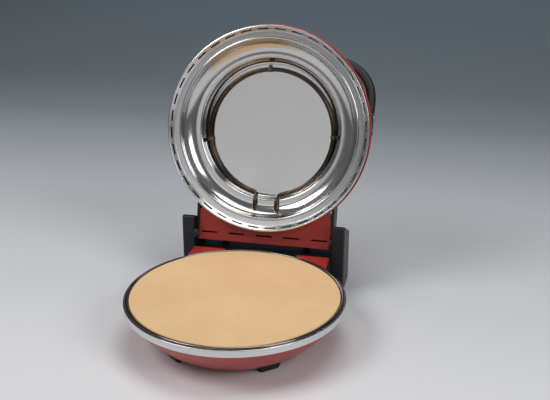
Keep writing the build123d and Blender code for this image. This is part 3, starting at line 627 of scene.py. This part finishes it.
pan_wall = bulged((WELL_RADIUS, WELL_HIGH), (155.9, PAN_BEAD_HIGH), WALL_BULGE, 24)
well_corners = [(0, PAN_DEPTH), (122.5, PAN_DEPTH), (WELL_RADIUS, WELL_HIGH), tuple(pan_wall[6])]
pan_path = rounded(well_corners, [0, 12.0, 4.0, 0], 12)[:-1] + pan_wall[6:]
pan = merged(
    "pan_spun",
    [
        lathe_mesh("pan_sheet", sheet(pan_path, PAN_SHEET), 360),
        lathe_mesh("pan_bead", bead(PAN_BEAD_RADIUS, PAN_BEAD_HIGH, PAN_BEAD), 360),
    ],
)
shade(pan)
pan_piece = link("pan_spun", pan, LID, "lid", MAT["mirror"], ["lid_pan"])

# The upper heater: an open ring in the well, its legs bent over the shoulder.
TUBE, RING_RADIUS, RING_SHIFT, RING_HIGH, LEG_X = 3.6, 111.0, 6.0, 43.0, 19.5
gap = math.atan2(LEG_X + 14.0, RING_RADIUS)
sweep_steps = 180
ring_points = []


def on_ring(a):
    """Point on the heater ring's centre line, in mm."""
    return Vector((RING_RADIUS * math.cos(a), RING_SHIFT + RING_RADIUS * math.sin(a), RING_HIGH))


for k in range(sweep_steps + 1):
    a = math.pi / 2 + gap + (2 * math.pi - 2 * gap) * k / sweep_steps
    ring_points.append(on_ring(a))


def heater_leg(end, before):
    """Leg from the ring's end over the shoulder and into the pan."""
    along = (end - before).normalized()
    side = 1 if end.x > 0 else -1
    turn = end + along * ((end.x - side * LEG_X) / -along.x)
    corners = [
        end,
        turn,
        (side * LEG_X, 122.5, 27.0),
        (side * LEG_X, 140.0, 24.5),
        (side * LEG_X, 143.5, 38.0),
    ]
    return rounded(corners, [0, 12.0, 6.5, 4.5, 0], 10)


left_leg = heater_leg(ring_points[0], ring_points[1])
right_leg = heater_leg(ring_points[-1], ring_points[-2])
heater_line = left_leg[::-1] + ring_points[1:-1] + right_leg
upper = tube("upper_heater_bent", heater_line, TUBE, LID, "lid", MAT["heater"], ["upper_heater"])

# Ceramic sleeves on the legs, behind the pan's wall.
sleeves = []
for side in (-1, 1):
    sleeve = lathe_mesh("sleeve", [(TUBE, 0), (TUBE + 1.8, 0), (TUBE + 1.8, 7.0), (TUBE, 7.0)], 48)
    lean = Vector((0, 3.5, 13.5)).to_track_quat("Z", "Y").to_matrix().to_4x4()
    sleeve.transform(Matrix.Translation(Vector((side * LEG_X, 141.6, 30.6)) * MM) @ lean)
    sleeves.append(sleeve)
sleeve_mesh = merged("leg_sleeves", sleeves)
shade(sleeve_mesh)
hidden_sleeves = ["upper_heater_sleeves"]
sleeve_piece = link("leg_sleeves", sleeve_mesh, LID, "lid", MAT["ceramic"], hidden_sleeves)

# Clips: a strap over the tube, its feet folded out on the well's floor.
clips = []
strap = arc((0, 0), TUBE + 0.1, 180, 360, 16)
strap = [Vector((-TUBE - 0.1, 6.4))] + strap + [Vector((TUBE + 0.1, 6.4)), Vector((TUBE + 5.0, 6.4))]
strap_section = sheet(strap, -0.8)
for angle in (266.0, 171.0, 1.0):
    clip = slab(strap_section, -3.0, 3.0)
    turn = Matrix.Rotation(math.radians(angle), 4, "Z") @ Matrix.Rotation(math.radians(90), 4, "X")
    clip.transform(Matrix.Translation(on_ring(math.radians(angle)) * MM) @ turn)
    clips.append(clip)
clip_mesh = merged("heater_straps", clips)
hidden_clips = ["upper_heater_clips"]
clip_piece = link("heater_straps", clip_mesh, LID, "lid", MAT["clip"], hidden_clips)

# The dome: smooth from its hem to the crown, its edge behind the steel skirt.
DOME_RADIUS, DOME_LOW, DOME_SIDE, DOME_HIGH = 181.0, 14.2, (118.0, 71.0), 80.0
DOME_SHEET = 1.5
crown_drop = DOME_HIGH - DOME_SIDE[1]
crown_bend = (DOME_SIDE[0] ** 2 + crown_drop ** 2) / (2 * crown_drop)
crown = [
    Vector((crown_bend * math.sin(s), DOME_HIGH - crown_bend + crown_bend * math.cos(s)))
    for s in (math.asin(DOME_SIDE[0] / crown_bend) * k / 16 for k in range(17))
]
slope = math.asin(DOME_SIDE[0] / crown_bend)
inward = Vector((-math.sin(slope), -math.cos(slope)))
reach = Vector((DOME_RADIUS, DOME_LOW)) - crown[-1]
side_bend = reach.length_squared / (2 * reach.dot(inward))
side_rise = side_bend - math.sqrt(side_bend ** 2 - reach.length_squared / 4)
flank = bulged(crown[-1], (DOME_RADIUS, DOME_LOW), side_rise, 30)
hem_corners = [tuple(flank[-3]), (DOME_RADIUS - 0.1, DOME_LOW), (178.4, DOME_LOW - 0.2)]
dome_path = crown + flank[1:-2] + rounded(hem_corners, 1.6)[1:]
dome_section = sheet(dome_path, -DOME_SHEET)
dome = lathe("dome_spun", dome_section, LID, "lid", MAT["red"], ["lid_dome"], 360)

# Front feet: tapered rubber blocks under the bowl.
feet = []
for side in (-1, 1):
    outline = rounded([(-19, -10), (19, -10), (19, 10), (-19, 10)], 5.0, 6, True)
    foot = slab([tuple(point) for point in outline], -75.0, BOWL_LOW + 0.3)
    for vertex in foot.vertices:
        if vertex.co.z < -0.07:
            vertex.co.x *= 0.86
            vertex.co.y *= 0.8
    turn = math.atan2(-84.3, side * 70.7) + math.pi / 2
    spot = Vector((side * 70.7, -84.3, 0)) * MM
    foot.transform(Matrix.Translation(spot) @ Matrix.Rotation(turn, 4, "Z"))
    feet.append(foot)
feet_mesh = merged("bowl_feet", feet)
shade(feet_mesh, 40)
feet_piece = link("bowl_feet", feet_mesh, BASE, "base", MAT["rubber"], ["front_feet"])


# ------------------------------------------------------------------ small detail
def screw_cross(name, places, body, matrix):
    """Cross recesses drawn as near-black bars a little proud of the heads: painted shade standing in
    for the hollows.
    """
    meshes = []
    for place, normal in places:
        turn = Vector(normal).to_track_quat("Z", "Y").to_matrix().to_4x4()
        spot = Matrix.Translation(Vector(place) * MM) @ turn
        for angle in (20, 110):
            bar = slab([(-1.9, -0.35), (1.9, -0.35), (1.9, 0.35), (-1.9, 0.35)], -0.4, 0.03)
            bar.transform(spot @ Matrix.Rotation(math.radians(angle), 4, "Z"))
            meshes.append(bar)
    return link(name, merged(name, meshes), matrix, body, MAT["recess_shade"], ())


CHEEK_FACE, HANDLE_FACE = 123.6, 180.6
cheek_spots = [((s * CHEEK_FACE, y, 44.0), (s, 0, 0)) for s in (-1, 1) for y in (162.0, 190.0)]
screw_cross("cheek_screw_marks", cheek_spots, "lid", LID)
handle_spots = [((s * HANDLE_FACE, y, 41.0), (s, 0, 0)) for s in (-1, 1) for y in (-29.0, -7.0)]
screw_cross("handle_screw_marks", handle_spots, "lid", LID)
cover_places = [(s * x, y) for s in (-1, 1) for x, y in ((105, 172), (105, 236), (36, 236))]
cover_spots = [((x, y, -73.6), (0, 0, -1)) for x, y in cover_places]
screw_cross("cover_screw_marks", cover_spots, "base", BASE)

BEZEL_TOP, TICK_IN, TICK_OUT, DIGIT_RADIUS = 87.0, 21.0, 24.0, 28.5
ticks = []
for step in range(19):
    angle = math.radians(225 - 15 * step)
    edge = [(TICK_IN, -0.25), (TICK_OUT, -0.25), (TICK_OUT, 0.25), (TICK_IN, 0.25)]
    bar = slab(edge, BEZEL_TOP - 0.2, BEZEL_TOP + 0.04)
    bar.transform(Matrix.Rotation(angle, 4, "Z"))
    ticks.append(bar)
link("dial_ticks", merged("dial_ticks", ticks), LID, "lid", MAT["ink"], ())
for number in range(1, 6):
    angle = math.radians(225 - 67.5 * (number - 1))
    text = bpy.data.curves.new("dial_number", "FONT")
    text.body = str(number)
    text.size = 4.6 * MM
    text.extrude = 0.03 * MM
    text.align_x, text.align_y = "CENTER", "CENTER"
    digit = bpy.data.objects.new("dial_number_%d" % number, text)
    bpy.context.scene.collection.objects.link(digit)
    x, y = DIGIT_RADIUS * math.cos(angle), DIGIT_RADIUS * math.sin(angle)
    digit.matrix_world = LID @ Matrix.Translation(Vector((x, y, BEZEL_TOP + 0.03)) * MM)
    text.materials.append(MAT["ink"])
    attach(digit, "lid")
pointer = slab([(-0.6, -17.0), (0.6, -17.0), (0.6, -9.0), (-0.6, -9.0)], 104.3, 104.66)
link("knob_pointer", pointer, LID, "knob", MAT["ink"], ())

# ------------------------------------------------------------------ the stage
def stage_floor():
    """Sweep: a floor that rises behind the object, pale in front and painted darker towards the back
    as painted shade.
    """
    profile = [Vector((-9.0, 0.0)), Vector((3.4, 0.0)), Vector((3.4, 6.0))]
    line = rounded(profile, 1.6, 24)
    verts, faces = [], []
    for y, z in line:
        verts += [(-9, y, z - 0.075), (9, y, z - 0.075)]
    for i in range(len(line) - 1):
        faces.append((2 * i, 2 * i + 1, 2 * i + 3, 2 * i + 2))
    mesh = bpy.data.meshes.new("sweep")
    mesh.from_pydata(verts, [], faces)
    shade(mesh, 60)
    m = Nodes("sweep_paper_painted_shade")
    m.set(Roughness=0.6)
    place = m.add("ShaderNodeTexCoord")
    split = m.add("ShaderNodeSeparateXYZ")
    m.wire(place, "Object", split, "Vector")
    depth = m.add("ShaderNodeMapRange")
    for socket, value in (("From Min", -1.5), ("From Max", 3.5)):
        depth.inputs[socket].default_value = value
    m.wire(split, "Y", depth, "Value")
    # Painted shade: the colour darkens with depth, standing in for light falling off towards the
    # back.
    painted_shade_tones = [
        (0.27, (0.80, 0.80, 0.81)),
        (0.42, (0.60, 0.615, 0.64)),
        (0.58, (0.30, 0.34, 0.37)),
        (0.85, (0.17, 0.215, 0.245)),
    ]
    tone = m.ramp(depth, "Result", painted_shade_tones)
    m.wire(tone, "Color", m.bsdf, "Base Color")
    mesh.materials.append(m.mat)
    obj = bpy.data.objects.new("sweep", mesh)
    bpy.context.scene.collection.objects.link(obj)


stage_floor()


def lamp(name, place, target, size, power, colour=(1, 1, 1)):
    data = bpy.data.lights.new(name, "AREA")
    data.shape = "RECTANGLE"
    data.size, data.size_y = size
    data.energy = power
    data.color = colour
    obj = bpy.data.objects.new(name, data)
    bpy.context.scene.collection.objects.link(obj)
    obj.location = place
    obj.rotation_euler = (Vector(target) - Vector(place)).to_track_quat("-Z", "Y").to_euler()
    return obj


lamp("key", (-1.6, -1.0, 2.2), (0, 0.05, 0.0), (1.4, 1.0), 30)
lamp("fill", (2.2, -1.2, 1.7), (0.2, 0.1, 0.0), (1.4, 1.4), 26)
lamp("top", (0.2, 0.4, 2.6), (0, 0.1, 0), (2.0, 1.2), 24)
lamp("card", (-0.49, -2.6, 1.00), (0, 0.27, 0.2), (0.98, 0.64), 0.95)
lamp("strip", (-0.49, -2.6, 0.605), (0, 0.27, 0.2), (0.98, 0.15), 0.40)
lamp("upper", (-0.30, -2.5, 1.72), (0, 0.27, 0.2), (1.6, 0.75), 3.2)

world = bpy.data.worlds.new("studio")
bpy.context.scene.world = world
world.use_nodes = True
world.node_tree.nodes["Background"].inputs["Color"].default_value = (0.40, 0.42, 0.45, 1)
world.node_tree.nodes["Background"].inputs["Strength"].default_value = 0.30

# ----------------------------------------------------------------- the camera
yaw, pitch, roll = map(math.radians, (12.09, 20.10, 0.16))
level = math.cos(pitch)
forward = Vector((-math.sin(yaw) * level, math.cos(yaw) * level, -math.sin(pitch)))
right = Vector((math.cos(yaw), math.sin(yaw), 0))
up = right.cross(forward)
turned = right * math.cos(roll) + up * math.sin(roll)
right, up = turned, up * math.cos(roll) - right * math.sin(roll)
eye = bpy.data.cameras.new("camera")
eye.sensor_width = 36.0
eye.lens = 843.0 / 550.0 * 36.0
camera = bpy.data.objects.new("camera", eye)
bpy.context.scene.collection.objects.link(camera)
pose = Matrix((right, up, -forward)).transposed().to_4x4()
camera.matrix_world = Matrix.Translation((0.310, -1.151, 0.591)) @ pose
bpy.context.scene.camera = camera
bpy.context.scene.view_settings.view_transform = "Standard"
